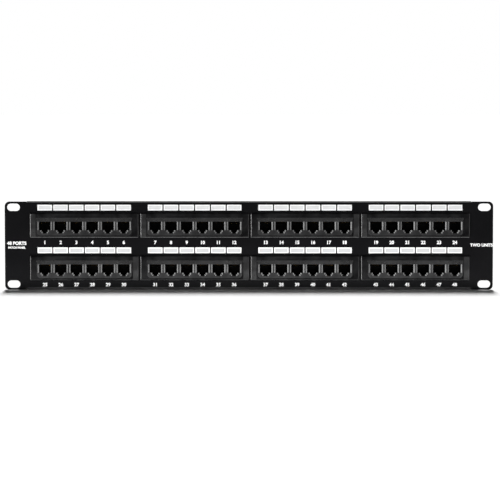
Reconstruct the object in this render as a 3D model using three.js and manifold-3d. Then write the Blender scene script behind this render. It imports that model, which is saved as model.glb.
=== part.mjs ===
// Two-unit, 48-port patch panel for a 19-inch rack: a folded steel plate that holds eight six-port jack modules.
// Each module is a jack housing, a contact carrier, a comb of contact springs, a circuit board, two rows of
// insulation-displacement terminals and a wiring label.
//
// Millimetres. +X is right as seen from the front, +Y is towards the back, +Z is up. The origin is the centre of the
// steel plate's back face, which is the plane that the rack rails touch.

import * as THREE from "three";
import { ConvexGeometry } from "three/addons/geometries/ConvexGeometry.js";
import { mergeVertices } from "three/addons/utils/BufferGeometryUtils.js";
import Module from "manifold-3d";

const wasm = await Module();
wasm.setup();

// ---------- Driving dimensions ----------

const CLEARANCE = 0.2; // between two pieces that lie face to face
const ARC_STEPS = 5; // half the straight pieces in each arc of an outline

const plate = {
  width: 482.6, // 19 inches over the ears
  height: 87.5, // two rack units, less the usual gap
  thickness: 1.5,
  cornerRadius: 4.6,
};

const flange = {
  length: 440, // passes between the rack rails
  depth: 12, // from the plate's front face
  inset: 0.4, // how far the folded edge lies inside the ears' height
  bendRadius: 1.8, // on the outside of the fold
};

const mountingSlot = {
  spacingX: 465.1, // rack hole columns
  spacingZ: 76.2, // first and last holes of two rack units
  length: 12.6,
  height: 7.4,
};

const moduleGrid = {
  columns: 4,
  pitchX: 109.1,
  centreX: 0.9, // the modules sit a little to the right of the plate's middle
  rowCentres: [20.3, -22.0], // the lower row leaves room for its label strip
};

const cutout = { width: 106, height: 23 };

const bezel = {
  width: 107.6,
  height: 24.6,
  front: -3.2,
  back: -plate.thickness - 0.1,
  chamfer: 1.2,
};

// The part of the bezel around the sockets stands forward of the rest. Its lower corners are the rounder ones.
const raisedFrame = {
  width: 93.6,
  height: 17.3,
  offsetZ: -1.2,
  front: -4.2,
  slope: 1.2,
  upperCorner: 1.5,
  lowerCorner: 3.5,
  cornerSteps: 3,
};

const housing = {
  width: 105.4,
  height: 22.4,
  wallBack: 1.0, // the front wall ends here, and the sockets widen behind it
  back: 11.0,
};

const ports = { count: 6, pitch: 15.6 };

// Heights are measured from the module's centre line. The plug's latch runs in the two steps under the socket.
const socket = {
  width: 11.6,
  top: 3.75,
  floor: -4.7,
  stepWidth: 6.1,
  stepFloor: -6.35,
  keyWidth: 3.8,
  keyFloor: -7.85,
  leadIn: 1.3, // how far each side splays at the mouth
  leadInDepth: 0.9,
};

const springChamber = { width: 93.4, top: 7.4 }; // one slot over all six sockets, for the contact comb

const snapHook = {
  height: 8,
  catchFace: 0.3, // just behind the steel
  rampEnd: 3.5,
  reach: 1.0, // out from the housing's end
};

const stake = { offsetX: 49.8, radius: 1.4, end: 15.6, sides: 10 };

const spring = {
  wires: 8,
  wirePitch: 1.02,
  wireWidth: 0.45,
  thickness: 0.45,
  length: 8.8, // from the pivot to the free end
  barLength: 92.6,
  barDepth: 1.0,
  pivotY: 1.8,
  pivotZ: 4.9,
  slope: THREE.MathUtils.degToRad(29), // free ends hang below the pivot
};

const carrier = {
  length: 92.6, // of the tongue over the springs
  tongueFront: 3.0,
  tongueBottom: 6.1,
  tongueTop: 7.1,
  wallBack: 13.0,
  wallTop: 8.4,
  wallBottom: -8.7,
};

const board = {
  width: 104,
  height: 37,
  front: carrier.wallBack + CLEARANCE,
  thickness: 1.6,
  stakeHoleRadius: 1.7,
};
board.back = board.front + board.thickness;

const terminalBlock = {
  offsetZ: 11, // of each row from the module's centre line
  height: 7,
  length: 96.4,
  front: board.back + CLEARANCE,
  slotFloor: 24.5,
  shortTooth: 29.6,
  tallTooth: 31,
  slotsPerPort: 4,
  slotWidth: 1.3, // at the mouth
};

const wiringLabel = { width: 96, height: 9, thickness: 0.25 };

// ---------- Materials ----------

const finish = (color, roughness, metalness = 0) =>
  new THREE.MeshStandardMaterial({
    color,
    roughness,
    metalness,
    flatShading: true,
  });

const materials = {
  blackSteel: finish(0x0c0c0d, 0.42, 0.1),
  blackPlastic: finish(0x1c1c1e, 0.5),
  carrierPlastic: finish(0x161618, 0.6),
  goldContact: finish(0xd8a63c, 0.28, 1),
  circuitBoard: finish(0x17402a, 0.45),
  terminalPlastic: finish(0x202022, 0.5),
  labelFilm: finish(0xf2f2ee, 0.55),
};

// ---------- Outlines and solids ----------

const points = (pairs) => pairs.map(([a, b]) => new THREE.Vector2(a, b));

const rectanglePoints = (centreX, centreZ, width, height) =>
  points([
    [centreX - width / 2, centreZ - height / 2],
    [centreX + width / 2, centreZ - height / 2],
    [centreX + width / 2, centreZ + height / 2],
    [centreX - width / 2, centreZ + height / 2],
  ]);

function slotShape(centreX, centreZ, length, height) {
  const radius = height / 2;
  const half = length / 2 - radius;
  return new THREE.Shape()
    .moveTo(centreX - half, centreZ - radius)
    .lineTo(centreX + half, centreZ - radius)
    .absarc(centreX + half, centreZ, radius, -Math.PI / 2, Math.PI / 2)
    .lineTo(centreX - half, centreZ + radius)
    .absarc(centreX - half, centreZ, radius, Math.PI / 2, (3 * Math.PI) / 2);
}

const extrude = (shape, depth) =>
  new THREE.ExtrudeGeometry(shape, {
    depth,
    bevelEnabled: false,
    curveSegments: ARC_STEPS,
  });

// An outline drawn in X and Z, as seen from the front, made solid from y = front to y = back.
const extrudeBack = (shape, front, back) =>
  extrude(shape, back - front)
    .rotateX(Math.PI / 2)
    .translate(0, back, 0);

// A section drawn in Y and Z, made solid over a length that is centred on centreX.
function extrudeAcross(section, length, centreX = 0) {
  const sideways = new THREE.Matrix4().makeBasis(
    new THREE.Vector3(0, 1, 0),
    new THREE.Vector3(0, 0, 1),
    new THREE.Vector3(1, 0, 0),
  );
  return extrude(section, length)
    .applyMatrix4(sideways)
    .translate(centreX - length / 2, 0, 0);
}

// A closed solid for manifold-3d, from positions alone.
function solidFrom(geometry) {
  const bare = geometry.clone();
  bare.deleteAttribute("normal");
  bare.deleteAttribute("uv");
  const merged = mergeVertices(bare, 1e-4);
  const corners = merged.index.array;
  // Where two outline points coincide, the sliver between them is left out.
  const kept = [];
  for (let i = 0; i < corners.length; i += 3) {
    const [a, b, c] = corners.subarray(i, i + 3);
    if (a !== b && b !== c && c !== a) kept.push(a, b, c);
  }
  return new wasm.Manifold(
    new wasm.Mesh({
      numProp: 3,
      vertProperties: new Float32Array(merged.attributes.position.array),
      triVerts: new Uint32Array(kept),
    }),
  );
}

function geometryFrom(solid) {
  const mesh = solid.getMesh();
  const geometry = new THREE.BufferGeometry();
  geometry.setAttribute(
    "position",
    new THREE.BufferAttribute(mesh.vertProperties, 3),
  );
  geometry.setIndex(new THREE.BufferAttribute(mesh.triVerts, 1));
  geometry.computeVertexNormals();
  return geometry;
}

const union = (geometries) =>
  geometries.map(solidFrom).reduce((whole, piece) => whole.add(piece));

const join = (...geometries) => geometryFrom(union(geometries));

// The port centres of one module, measured from the module's centre line.
const portCentres = Array.from(
  { length: ports.count },
  (_, i) => (i - (ports.count - 1) / 2) * ports.pitch,
);

// The module centres, top row first, and left to right as seen from the front.
const moduleCentres = moduleGrid.rowCentres.flatMap((z) =>
  Array.from({ length: moduleGrid.columns }, (_, i) => ({
    x:
      moduleGrid.centreX +
      (i - (moduleGrid.columns - 1) / 2) * moduleGrid.pitchX,
    z,
  })),
);

// ---------- Steel panel ----------

// Where the flat plate ends and the fold begins, above and below the centre line.
const foldStart = plate.height / 2 - flange.inset - flange.bendRadius;

// The plate's front outline: full height at the ears, and down to the start of the fold between them.
function plateOutline() {
  const right = plate.width / 2;
  const top = plate.height / 2;
  const r = plate.cornerRadius;
  const inner = flange.length / 2;
  return new THREE.Shape()
    .moveTo(-inner, -foldStart)
    .lineTo(inner, -foldStart)
    .lineTo(inner, -top)
    .lineTo(right - r, -top)
    .absarc(right - r, -top + r, r, -Math.PI / 2, 0)
    .lineTo(right, top - r)
    .absarc(right - r, top - r, r, 0, Math.PI / 2)
    .lineTo(inner, top)
    .lineTo(inner, foldStart)
    .lineTo(-inner, foldStart)
    .lineTo(-inner, top)
    .lineTo(-right + r, top)
    .absarc(-right + r, top - r, r, Math.PI / 2, Math.PI)
    .lineTo(-right, -top + r)
    .absarc(-right + r, -top + r, r, Math.PI, (3 * Math.PI) / 2)
    .lineTo(-inner, -top)
    .closePath();
}

// The folded edge in section: it overlaps the plate a little, turns through a right angle and runs back.
function flangeSection() {
  const overlap = 0.5;
  const front = -plate.thickness;
  const innerRadius = flange.bendRadius - plate.thickness;
  const centreY = front + flange.bendRadius;
  const outer = foldStart + flange.bendRadius;
  return new THREE.Shape()
    .moveTo(0, foldStart - overlap)
    .lineTo(0, foldStart)
    .absarc(centreY, foldStart, innerRadius, Math.PI, Math.PI / 2, true)
    .lineTo(front + flange.depth, outer - plate.thickness)
    .lineTo(front + flange.depth, outer)
    .lineTo(centreY, outer)
    .absarc(
      centreY,
      foldStart,
      flange.bendRadius,
      Math.PI / 2,
      Math.PI,
    )
    .lineTo(front, foldStart - overlap)
    .closePath();
}

function steelPanel() {
  const through = (outline) => extrudeBack(outline, -plate.thickness - 1, 1);
  const cutouts = moduleCentres.map(({ x, z }) =>
    through(
      new THREE.Shape(rectanglePoints(x, z, cutout.width, cutout.height)),
    ),
  );
  const slots = [-1, 1].flatMap((sideX) =>
    [-1, 1].map((sideZ) =>
      through(
        slotShape(
          (sideX * mountingSlot.spacingX) / 2,
          (sideZ * mountingSlot.spacingZ) / 2,
          mountingSlot.length,
          mountingSlot.height,
        ),
      ),
    ),
  );
  const topFlange = extrudeAcross(flangeSection(), flange.length);
  // Half a turn about Y swaps top and bottom and keeps the flange behind the plate.
  const bottomFlange = topFlange.clone().rotateY(Math.PI);
  const whole = union([
    extrudeBack(plateOutline(), -plate.thickness, 0),
    topFlange,
    bottomFlange,
  ]);
  return geometryFrom(whole.subtract(union([...cutouts, ...slots])));
}

// ---------- Jack housing ----------

// The convex solid between outlines that stand at different depths. Each level is [y, points in X and Z].
const taperedBlock = (...levels) =>
  new ConvexGeometry(
    levels.flatMap(([y, outline]) =>
      outline.map((p) => new THREE.Vector3(p.x, y, p.y)),
    ),
  );

const bezelBlock = () => {
  const { width, height, chamfer, front, back } = bezel;
  const full = rectanglePoints(0, 0, width, height);
  return taperedBlock(
    [front, rectanglePoints(0, 0, width - 2 * chamfer, height - 2 * chamfer)],
    [(front + back) / 2, full],
    [back, full],
  );
};

// A rounded outline for the raised frame, larger than its front face by the given amount on every side.
function raisedOutline(growth) {
  const right = raisedFrame.width / 2 + growth;
  const top = raisedFrame.offsetZ + raisedFrame.height / 2 + growth;
  const bottom = raisedFrame.offsetZ - raisedFrame.height / 2 - growth;
  const corners = [
    [right, top, -1, -1, raisedFrame.upperCorner, 0],
    [-right, top, 1, -1, raisedFrame.upperCorner, 1],
    [-right, bottom, 1, 1, raisedFrame.lowerCorner, 2],
    [right, bottom, -1, 1, raisedFrame.lowerCorner, 3],
  ];
  return corners.flatMap(([x, z, inwardX, inwardZ, cornerRadius, quarter]) => {
    const radius = cornerRadius + growth;
    return Array.from({ length: raisedFrame.cornerSteps + 1 }, (_, i) => {
      const angle = ((quarter + i / raisedFrame.cornerSteps) * Math.PI) / 2;
      return new THREE.Vector2(
        x + inwardX * radius + radius * Math.cos(angle),
        z + inwardZ * radius + radius * Math.sin(angle),
      );
    });
  });
}

const raisedBlock = () =>
  taperedBlock(
    [raisedFrame.front, raisedOutline(0)],
    [bezel.front + 0.1, raisedOutline(raisedFrame.slope)],
  );

// A socket is a plug-sized opening over two narrower steps for the latch. Each row is [width, top, floor].
const socketRows = [
  [socket.width, socket.top, socket.floor],
  [socket.stepWidth, socket.floor, socket.stepFloor],
  [socket.keyWidth, socket.stepFloor, socket.keyFloor],
];

// One row of a socket: straight through the front wall, and splayed to both sides at the mouth.
function socketRowCutter(x, [width, top, floor]) {
  const half = width / 2;
  const mouth = half + socket.leadIn;
  const front = raisedFrame.front - 1;
  const outside = mouth + socket.leadIn / socket.leadInDepth;
  const throat = raisedFrame.front + socket.leadInDepth;
  const back = housing.wallBack + 0.5;
  const section = new THREE.Shape(
    points([
      [x - outside, front],
      [x + outside, front],
      [x + half, throat],
      [x + half, back],
      [x - half, back],
      [x - half, throat],
    ]),
  );
  return extrude(section, top - floor).translate(0, 0, floor);
}

// Behind the front wall the six sockets are plain bays, and the spring chamber joins them along the top.
const bayCutter = (x) =>
  extrudeBack(
    new THREE.Shape(
      rectanglePoints(
        x,
        (socket.top + socket.keyFloor) / 2,
        socket.width,
        socket.top - socket.keyFloor + 1,
      ),
    ),
    housing.wallBack,
    housing.back + 1,
  );

const chamberCutter = () =>
  extrudeBack(
    new THREE.Shape(
      rectanglePoints(
        0,
        (socket.top + springChamber.top) / 2,
        springChamber.width,
        springChamber.top - socket.top,
      ),
    ),
    housing.wallBack,
    housing.back + 1,
  );

// A wedge that clicks behind the steel at the left or the right end of the cutout.
function hook(side) {
  const base = housing.width / 2 - 0.3;
  const tip = housing.width / 2 + snapHook.reach;
  const section = new THREE.Shape(
    points([
      [base, snapHook.catchFace],
      [tip, snapHook.catchFace],
      [base, snapHook.rampEnd],
    ]),
  );
  const wedge = extrude(section, snapHook.height).translate(
    0,
    0,
    -snapHook.height / 2,
  );
  return side > 0 ? wedge : wedge.rotateY(Math.PI);
}

// A peg that passes through the circuit board and is melted over behind it.
const heatStake = (x) =>
  new THREE.CylinderGeometry(
    stake.radius,
    stake.radius,
    stake.end - housing.back + 0.5,
    stake.sides,
  ).translate(x, (stake.end + housing.back - 0.5) / 2, 0);

function jackHousing() {
  const body = extrudeBack(
    new THREE.Shape(rectanglePoints(0, 0, housing.width, housing.height)),
    bezel.back - 0.5,
    housing.back,
  );
  const whole = union([
    body,
    bezelBlock(),
    raisedBlock(),
    hook(-1),
    hook(1),
    heatStake(-stake.offsetX),
    heatStake(stake.offsetX),
  ]);
  const hollow = union([
    chamberCutter(),
    ...portCentres.map(bayCutter),
    ...portCentres.flatMap((x) =>
      socketRows.map((row) => socketRowCutter(x, row)),
    ),
  ]);
  return geometryFrom(whole.subtract(hollow));
}

// ---------- Pieces behind the sockets ----------

// Eight sprung wires for each socket on one thin bar, drawn flat: the bar along X and the wires along +Y.
function contactSprings() {
  const half = spring.barLength / 2;
  const barBack = spring.barDepth / 2;
  const outline = [
    [half, barBack],
    [half, -barBack],
    [-half, -barBack],
    [-half, barBack],
  ];
  for (const x of portCentres)
    for (let i = 0; i < spring.wires; i++) {
      const wireX = x + (i - (spring.wires - 1) / 2) * spring.wirePitch;
      outline.push(
        [wireX - spring.wireWidth / 2, barBack],
        [wireX - spring.wireWidth / 2, spring.length],
        [wireX + spring.wireWidth / 2, spring.length],
        [wireX + spring.wireWidth / 2, barBack],
      );
    }
  return extrude(
    new THREE.Shape(points(outline)),
    spring.thickness,
  ).translate(0, 0, -spring.thickness / 2);
}

// The insulating part that closes the backs of the sockets and reaches over the springs.
const contactCarrier = () =>
  join(
    extrudeBack(
      new THREE.Shape(
        rectanglePoints(
          0,
          (carrier.wallTop + carrier.wallBottom) / 2,
          springChamber.width + 1.6,
          carrier.wallTop - carrier.wallBottom,
        ),
      ),
      housing.back + CLEARANCE,
      carrier.wallBack,
    ),
    extrudeBack(
      new THREE.Shape(
        rectanglePoints(
          0,
          (carrier.tongueTop + carrier.tongueBottom) / 2,
          carrier.length,
          carrier.tongueTop - carrier.tongueBottom,
        ),
      ),
      carrier.tongueFront,
      housing.back + 2 * CLEARANCE,
    ),
  );

function circuitBoard() {
  const shape = new THREE.Shape(
    rectanglePoints(0, 0, board.width, board.height),
  );
  for (const side of [-1, 1]) {
    const ring = Array.from({ length: stake.sides }, (_, i) => {
      const angle = (i / stake.sides) * 2 * Math.PI;
      return [
        side * stake.offsetX + board.stakeHoleRadius * Math.cos(angle),
        board.stakeHoleRadius * Math.sin(angle),
      ];
    });
    shape.holes.push(new THREE.Path(points(ring)));
  }
  return extrudeBack(shape, board.front, board.back);
}

// A bar with a V slot for each wire. The teeth between pairs of wires stand taller than the teeth inside a pair.
function terminalRow() {
  const {
    length,
    height,
    front,
    slotFloor,
    shortTooth,
    tallTooth,
    slotsPerPort,
    slotWidth,
  } = terminalBlock;
  const slots = ports.count * slotsPerPort;
  const pitch = ports.pitch / slotsPerPort;
  const outline = [
    [-length / 2, front],
    [length / 2, front],
    [length / 2, tallTooth],
  ];
  for (let i = slots - 1; i >= 0; i--) {
    const x = (i - (slots - 1) / 2) * pitch;
    const rightTooth = i % 2 ? tallTooth : shortTooth;
    const leftTooth = i % 2 ? shortTooth : tallTooth;
    outline.push(
      [x + slotWidth / 2, rightTooth],
      [x, slotFloor],
      [x - slotWidth / 2, leftTooth],
    );
  }
  outline.push([-length / 2, tallTooth]);
  return extrude(new THREE.Shape(points(outline)), height).translate(
    0,
    0,
    -height / 2,
  );
}

const labelStrip = () =>
  extrudeBack(
    new THREE.Shape(
      rectanglePoints(0, 0, wiringLabel.width, wiringLabel.height),
    ),
    board.back + CLEARANCE,
    board.back + CLEARANCE + wiringLabel.thickness,
  );

// ---------- Assembly ----------

function named(name, geometry, material, z = 0) {
  const mesh = new THREE.Mesh(geometry, material);
  mesh.name = name;
  mesh.position.z = z;
  return mesh;
}

const shared = {
  housing: jackHousing(),
  carrier: contactCarrier(),
  springs: contactSprings(),
  board: circuitBoard(),
  terminals: terminalRow(),
  label: labelStrip(),
};

function sixPortModule(number, { x, z }) {
  const group = new THREE.Group();
  group.position.set(x, 0, z);
  const springs = named(
    `contact_springs_${number}`,
    shared.springs,
    materials.goldContact,
  );
  springs.position.set(0, spring.pivotY, spring.pivotZ);
  springs.rotation.x = -spring.slope;
  const { offsetZ } = terminalBlock;
  group.add(
    named(
      `jack_housing_${number}`,
      shared.housing,
      materials.blackPlastic,
    ),
    named(
      `contact_carrier_${number}`,
      shared.carrier,
      materials.carrierPlastic,
    ),
    springs,
    named(`circuit_board_${number}`, shared.board, materials.circuitBoard),
    named(
      `terminal_block_upper_${number}`,
      shared.terminals,
      materials.terminalPlastic,
      offsetZ,
    ),
    named(
      `terminal_block_lower_${number}`,
      shared.terminals,
      materials.terminalPlastic,
      -offsetZ,
    ),
    named(`wiring_label_${number}`, shared.label, materials.labelFilm),
  );
  return group;
}

const patchPanel = new THREE.Group();
patchPanel.add(named("steel_panel", steelPanel(), materials.blackSteel));
moduleCentres.forEach((centre, i) =>
  patchPanel.add(sixPortModule(i + 1, centre)),
);

export default patchPanel;
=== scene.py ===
"""Looks for the two-unit, 48-port patch panel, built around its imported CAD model.

Metres, in the CAD's frame: +X is right as seen from the front, +Y is towards the back and +Z is up, with the
steel plate's back face at y = 0.
"""

import math

import bmesh
import bpy
from mathutils import Matrix, Vector


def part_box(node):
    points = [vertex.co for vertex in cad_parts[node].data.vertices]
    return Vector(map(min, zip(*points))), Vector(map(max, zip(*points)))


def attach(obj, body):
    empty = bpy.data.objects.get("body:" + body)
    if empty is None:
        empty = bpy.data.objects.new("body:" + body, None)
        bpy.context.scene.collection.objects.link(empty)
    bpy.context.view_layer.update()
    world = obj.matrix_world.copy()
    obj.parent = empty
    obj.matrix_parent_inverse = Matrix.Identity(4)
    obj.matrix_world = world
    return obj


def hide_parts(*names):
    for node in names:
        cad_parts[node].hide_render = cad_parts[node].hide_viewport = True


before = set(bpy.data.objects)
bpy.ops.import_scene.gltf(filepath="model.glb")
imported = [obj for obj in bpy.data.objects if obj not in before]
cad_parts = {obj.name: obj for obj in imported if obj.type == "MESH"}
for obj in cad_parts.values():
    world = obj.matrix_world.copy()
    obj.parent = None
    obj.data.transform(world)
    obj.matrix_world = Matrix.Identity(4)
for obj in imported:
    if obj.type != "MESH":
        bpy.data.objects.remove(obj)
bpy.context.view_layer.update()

MM = 0.001
ROOT = "panel"
MODULES = range(1, 9)
PORTS_PER_MODULE = 6


def centre_of(node):
    low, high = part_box(node)
    return (low + high) / 2


def spread(count, pitch):
    """Places at an even pitch, centred on zero."""
    return [(i - (count - 1) / 2) * pitch for i in range(count)]


# ---------- Places read from the frame ----------

plate_low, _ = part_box("steel_panel")
PLATE_FRONT = plate_low.y
# The bend along the lower edge: where it starts, and how far it reaches to each side of the middle.
# Its painted highlight line is brightest from FOLD_BRIGHT to FOLD_FADE below the start, and gone at
# FOLD_END.
FOLD_TOP = plate_low.z + 2.6 * MM
FOLD_REACH = 220 * MM
FOLD_BRIGHT = 0.7 * MM
FOLD_FADE = 1.2 * MM
FOLD_END = 1.7 * MM
housing_low, housing_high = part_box("jack_housing_1")
HOUSING_WIDTH = housing_high.x - housing_low.x
HOUSING_HEIGHT = housing_high.z - housing_low.z
RAISED_FRONT = housing_low.y
board_low, board_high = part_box("circuit_board_1")
block_low, block_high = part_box("terminal_block_upper_1")
label_low, label_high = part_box("wiring_label_1")

# Each module's centre line, at y = 0.
module_centre = {}
for number in MODULES:
    middle = centre_of(f"jack_housing_{number}")
    module_centre[number] = Vector((middle.x, 0, middle.z))

PORT_PITCH = 15.6 * MM
port_offsets = spread(PORTS_PER_MODULE, PORT_PITCH)


# ---------- Shader building ----------


class Shader:
    """A principled material and short ways to add procedural detail to it."""

    def __init__(self, name, color, roughness, metallic=0.0, specular=0.5):
        self.material = bpy.data.materials.new(name)
        self.material.use_nodes = True
        self.tree = self.material.node_tree
        self.surface = self.tree.nodes["Principled BSDF"]
        self.color = color
        self.set("Base Color", (*color, 1))
        self.set("Roughness", roughness)
        self.set("Metallic", metallic)
        self.set("Specular IOR Level", specular)
        self.place = self.node("ShaderNodeTexCoord").outputs["Object"]
        self.last_normal = None

    def set(self, socket, value):
        self.surface.inputs[socket].default_value = value

    def node(self, kind, **inputs):
        made = self.tree.nodes.new(kind)
        for socket, value in inputs.items():
            made.inputs[socket.replace("_", " ")].default_value = value
        return made

    def link(self, output, socket):
        self.tree.links.new(output, socket)

    def noise(self, scale, detail=2.0, stretch=(1, 1, 1)):
        """Noise from 0 to 1, with scale in features per metre, stretched along an axis where asked."""
        mapping = self.node("ShaderNodeMapping")
        mapping.inputs["Scale"].default_value = stretch
        self.link(self.place, mapping.inputs["Vector"])
        texture = self.node("ShaderNodeTexNoise", Scale=scale, Detail=detail)
        self.link(mapping.outputs["Vector"], texture.inputs["Vector"])
        return texture.outputs["Fac"]

    def cells(self, scale):
        """The distance to the nearest cell centre, for moulded and sprayed grain."""
        texture = self.node("ShaderNodeTexVoronoi", Scale=scale)
        self.link(self.place, texture.inputs["Vector"])
        return texture.outputs["Distance"]

    def remap(self, value, from_low, from_high, to_low, to_high):
        made = self.node("ShaderNodeMapRange")
        made.inputs["From Min"].default_value = from_low
        made.inputs["From Max"].default_value = from_high
        made.inputs["To Min"].default_value = to_low
        made.inputs["To Max"].default_value = to_high
        self.link(value, made.inputs["Value"])
        return made.outputs["Result"]

    def mix_color(self, factor, first, second):
        """Blends two colours, either of which may be a socket."""
        made = self.node("ShaderNodeMix")
        made.data_type = "RGBA"
        self.link(factor, made.inputs["Factor"])
        for socket, value in ((made.inputs[6], first), (made.inputs[7], second)):
            if isinstance(value, bpy.types.NodeSocket):
                self.link(value, socket)
            else:
                socket.default_value = (*value, 1)
        return made.outputs[2]

    def bump(self, height, distance, strength=1.0):
        """Adds a height, in metres, to the surface's relief."""
        made = self.node("ShaderNodeBump", Strength=strength, Distance=distance)
        self.link(height, made.inputs["Height"])
        if self.last_normal is not None:
            self.link(self.last_normal, made.inputs["Normal"])
        self.last_normal = made.outputs["Normal"]
        self.link(self.last_normal, self.surface.inputs["Normal"])

    def edge_wear(self, color, start=0.53, end=0.62, amount=0.6):
        """Rubs the finish thin along raised edges."""
        pointiness = self.node("ShaderNodeNewGeometry").outputs["Pointiness"]
        edges = self.remap(pointiness, start, end, 0, amount)
        worn = self.node("ShaderNodeMath")
        worn.operation = "MULTIPLY"
        self.link(edges, worn.inputs[0])
        self.link(self.noise(420, 3), worn.inputs[1])
        self.link(
            self.mix_color(worn.outputs[0], self.base_socket(), color),
            self.surface.inputs["Base Color"],
        )

    def rub_lower_fold(self, color):
        """Paints a highlight on the outside of the bend along the panel's lower edge, between the two ears:
        a lighter line in the coat that stands in for a reflection of the floor.
        """
        axes = self.node("ShaderNodeSeparateXYZ")
        self.link(self.place, axes.inputs["Vector"])
        rise = self.remap(axes.outputs["Z"], FOLD_TOP, FOLD_TOP - FOLD_BRIGHT, 0, 1)
        fall = self.remap(axes.outputs["Z"], FOLD_TOP - FOLD_FADE, FOLD_TOP - FOLD_END, 1, 0)
        wide = self.node("ShaderNodeMath")
        wide.operation = "ABSOLUTE"
        self.link(axes.outputs["X"], wide.inputs[0])
        length = self.remap(wide.outputs[0], FOLD_REACH - 1 * MM, FOLD_REACH, 1, 0)
        streaks = self.remap(self.noise(260, 3, (0.2, 1, 1)), 0.3, 0.6, 0.45, 1)
        factor = rise
        for mask in (fall, length, streaks):
            product = self.node("ShaderNodeMath")
            product.operation = "MULTIPLY"
            self.link(factor, product.inputs[0])
            self.link(mask, product.inputs[1])
            factor = product.outputs[0]
        self.link(
            self.mix_color(factor, self.base_socket(), color),
            self.surface.inputs["Base Color"],
        )

    def base_socket(self):
        links = self.surface.inputs["Base Color"].links
        return links[0].from_socket if links else self.color

    def vary_color(self, other, scale, low=0.35, high=0.65):
        """Drifts the base colour towards another in soft patches."""
        patches = self.remap(self.noise(scale, 3), low, high, 0, 1)
        self.link(
            self.mix_color(patches, self.base_socket(), other),
            self.surface.inputs["Base Color"],
        )

    def vary_roughness(self, low, high, scale, stretch=(1, 1, 1)):
        self.link(
            self.remap(self.noise(scale, 4, stretch), 0.3, 0.7, low, high),
            self.surface.inputs["Roughness"],
        )


def powder_coat():
    shader = Shader("black_powder_coat", (0.0036, 0.0036, 0.0042), 0.42, specular=0.045)
    shader.vary_color((0.0052, 0.0051, 0.0058), 30)
    # A painted highlight: a lighter line along the lower bend, standing in for the floor's reflection there.
    shader.rub_lower_fold((0.1, 0.1, 0.102))
    shader.vary_roughness(0.36, 0.48, 55)
    shader.bump(shader.noise(1500, 2), 0.00003, 0.35)
    shader.bump(shader.cells(2600), 0.000015, 0.25)
    return shader.material


def rubbed_coat():
    """The same coat on the panel's edges, where it lies thin and handling has polished it."""
    shader = Shader("rubbed_powder_coat", (0.008, 0.008, 0.0085), 0.32, specular=0.2)
    shader.vary_color((0.025, 0.025, 0.026), 400, 0.45, 0.7)
    shader.vary_roughness(0.24, 0.42, 300)
    return shader.material


def moulded_black():
    """The bezels' outside: finely textured by the mould."""
    shader = Shader("moulded_black_plastic", (0.003, 0.003, 0.0033), 0.42, specular=0.045)
    shader.vary_color((0.013, 0.013, 0.0135), 80, 0.38, 0.62)
    shader.vary_roughness(0.34, 0.5, 90)
    shader.bump(shader.cells(3600), 0.00002, 0.3)
    shader.bump(shader.noise(120, 2), 0.00004, 0.2)
    return shader.material


def rubbed_black():
    """The bezels' small rounded edges, a little glossier and lighter than their faces."""
    shader = Shader("rubbed_black_plastic", (0.02, 0.02, 0.0205), 0.3, specular=0.6)
    shader.vary_color((0.035, 0.035, 0.036), 350, 0.45, 0.7)
    shader.vary_roughness(0.22, 0.4, 260)
    return shader.material


def handled_black():
    """The same plastic where plugs and fingers have rubbed its texture down."""
    shader = Shader("handled_black_plastic", (0.005, 0.005, 0.0054), 0.38, specular=0.26)
    shader.vary_color((0.022, 0.022, 0.0225), 95, 0.38, 0.62)
    shader.vary_roughness(0.27, 0.52, 130)
    shader.bump(shader.cells(3600), 0.00002, 0.15)
    shader.bump(shader.noise(120, 2), 0.00004, 0.2)
    return shader.material


def satin_black():
    """The strips above the sockets and the bezels' lower edges, smoother than the rest."""
    shader = Shader("satin_black_plastic", (0.007, 0.007, 0.0075), 0.27, specular=0.75)
    shader.vary_color((0.021, 0.021, 0.0215), 100, 0.38, 0.62)
    shader.vary_roughness(0.22, 0.38, 110)
    shader.bump(shader.noise(160, 2), 0.00004, 0.2)
    return shader.material


def polished_black():
    """The splayed mouths of the sockets and the bezels' left ends, as glossy as a lens."""
    shader = Shader("polished_black_plastic", (0.01, 0.01, 0.0105), 0.22, specular=0.8)
    shader.set("IOR", 1.65)
    shader.vary_color((0.018, 0.018, 0.0185), 60)
    shader.vary_roughness(0.18, 0.3, 140)
    shader.bump(shader.noise(700, 2), 0.00001, 0.2)
    return shader.material


def inner_black():
    shader = Shader("inner_black_plastic", (0.0025, 0.0025, 0.0028), 0.6, specular=0.06)
    shader.vary_color((0.004, 0.004, 0.0043), 80)
    shader.vary_roughness(0.52, 0.7, 150)
    shader.bump(shader.noise(1800, 2), 0.00002, 0.3)
    return shader.material


def terminal_black():
    shader = Shader("terminal_black_plastic", (0.022, 0.022, 0.024), 0.5, specular=0.4)
    shader.vary_color((0.03, 0.03, 0.032), 60)
    shader.vary_roughness(0.42, 0.6, 120)
    shader.bump(shader.cells(3000), 0.00002, 0.3)
    shader.edge_wear((0.08, 0.08, 0.082), amount=0.4)
    return shader.material


def gold_plate():
    shader = Shader("gold_plated_contact", (0.86, 0.58, 0.2), 0.22, metallic=1.0)
    shader.vary_color((0.78, 0.5, 0.2), 300)
    shader.vary_roughness(0.24, 0.42, 900, stretch=(1, 0.2, 1))
    shader.bump(shader.noise(5000, 2, stretch=(1, 0.1, 1)), 0.000004, 0.4)
    return shader.material


def tinned_metal():
    shader = Shader("tinned_terminal_blade", (0.72, 0.71, 0.68), 0.3, metallic=1.0)
    shader.vary_color((0.6, 0.59, 0.56), 350)
    shader.vary_roughness(0.24, 0.44, 800)
    shader.bump(shader.noise(4000, 2), 0.000005, 0.4)
    return shader.material


def solder():
    shader = Shader("solder", (0.62, 0.62, 0.64), 0.28, metallic=1.0)
    shader.vary_color((0.5, 0.5, 0.53), 900)
    shader.vary_roughness(0.2, 0.42, 1500)
    shader.bump(shader.noise(2500, 2), 0.00001, 0.4)
    return shader.material


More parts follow.
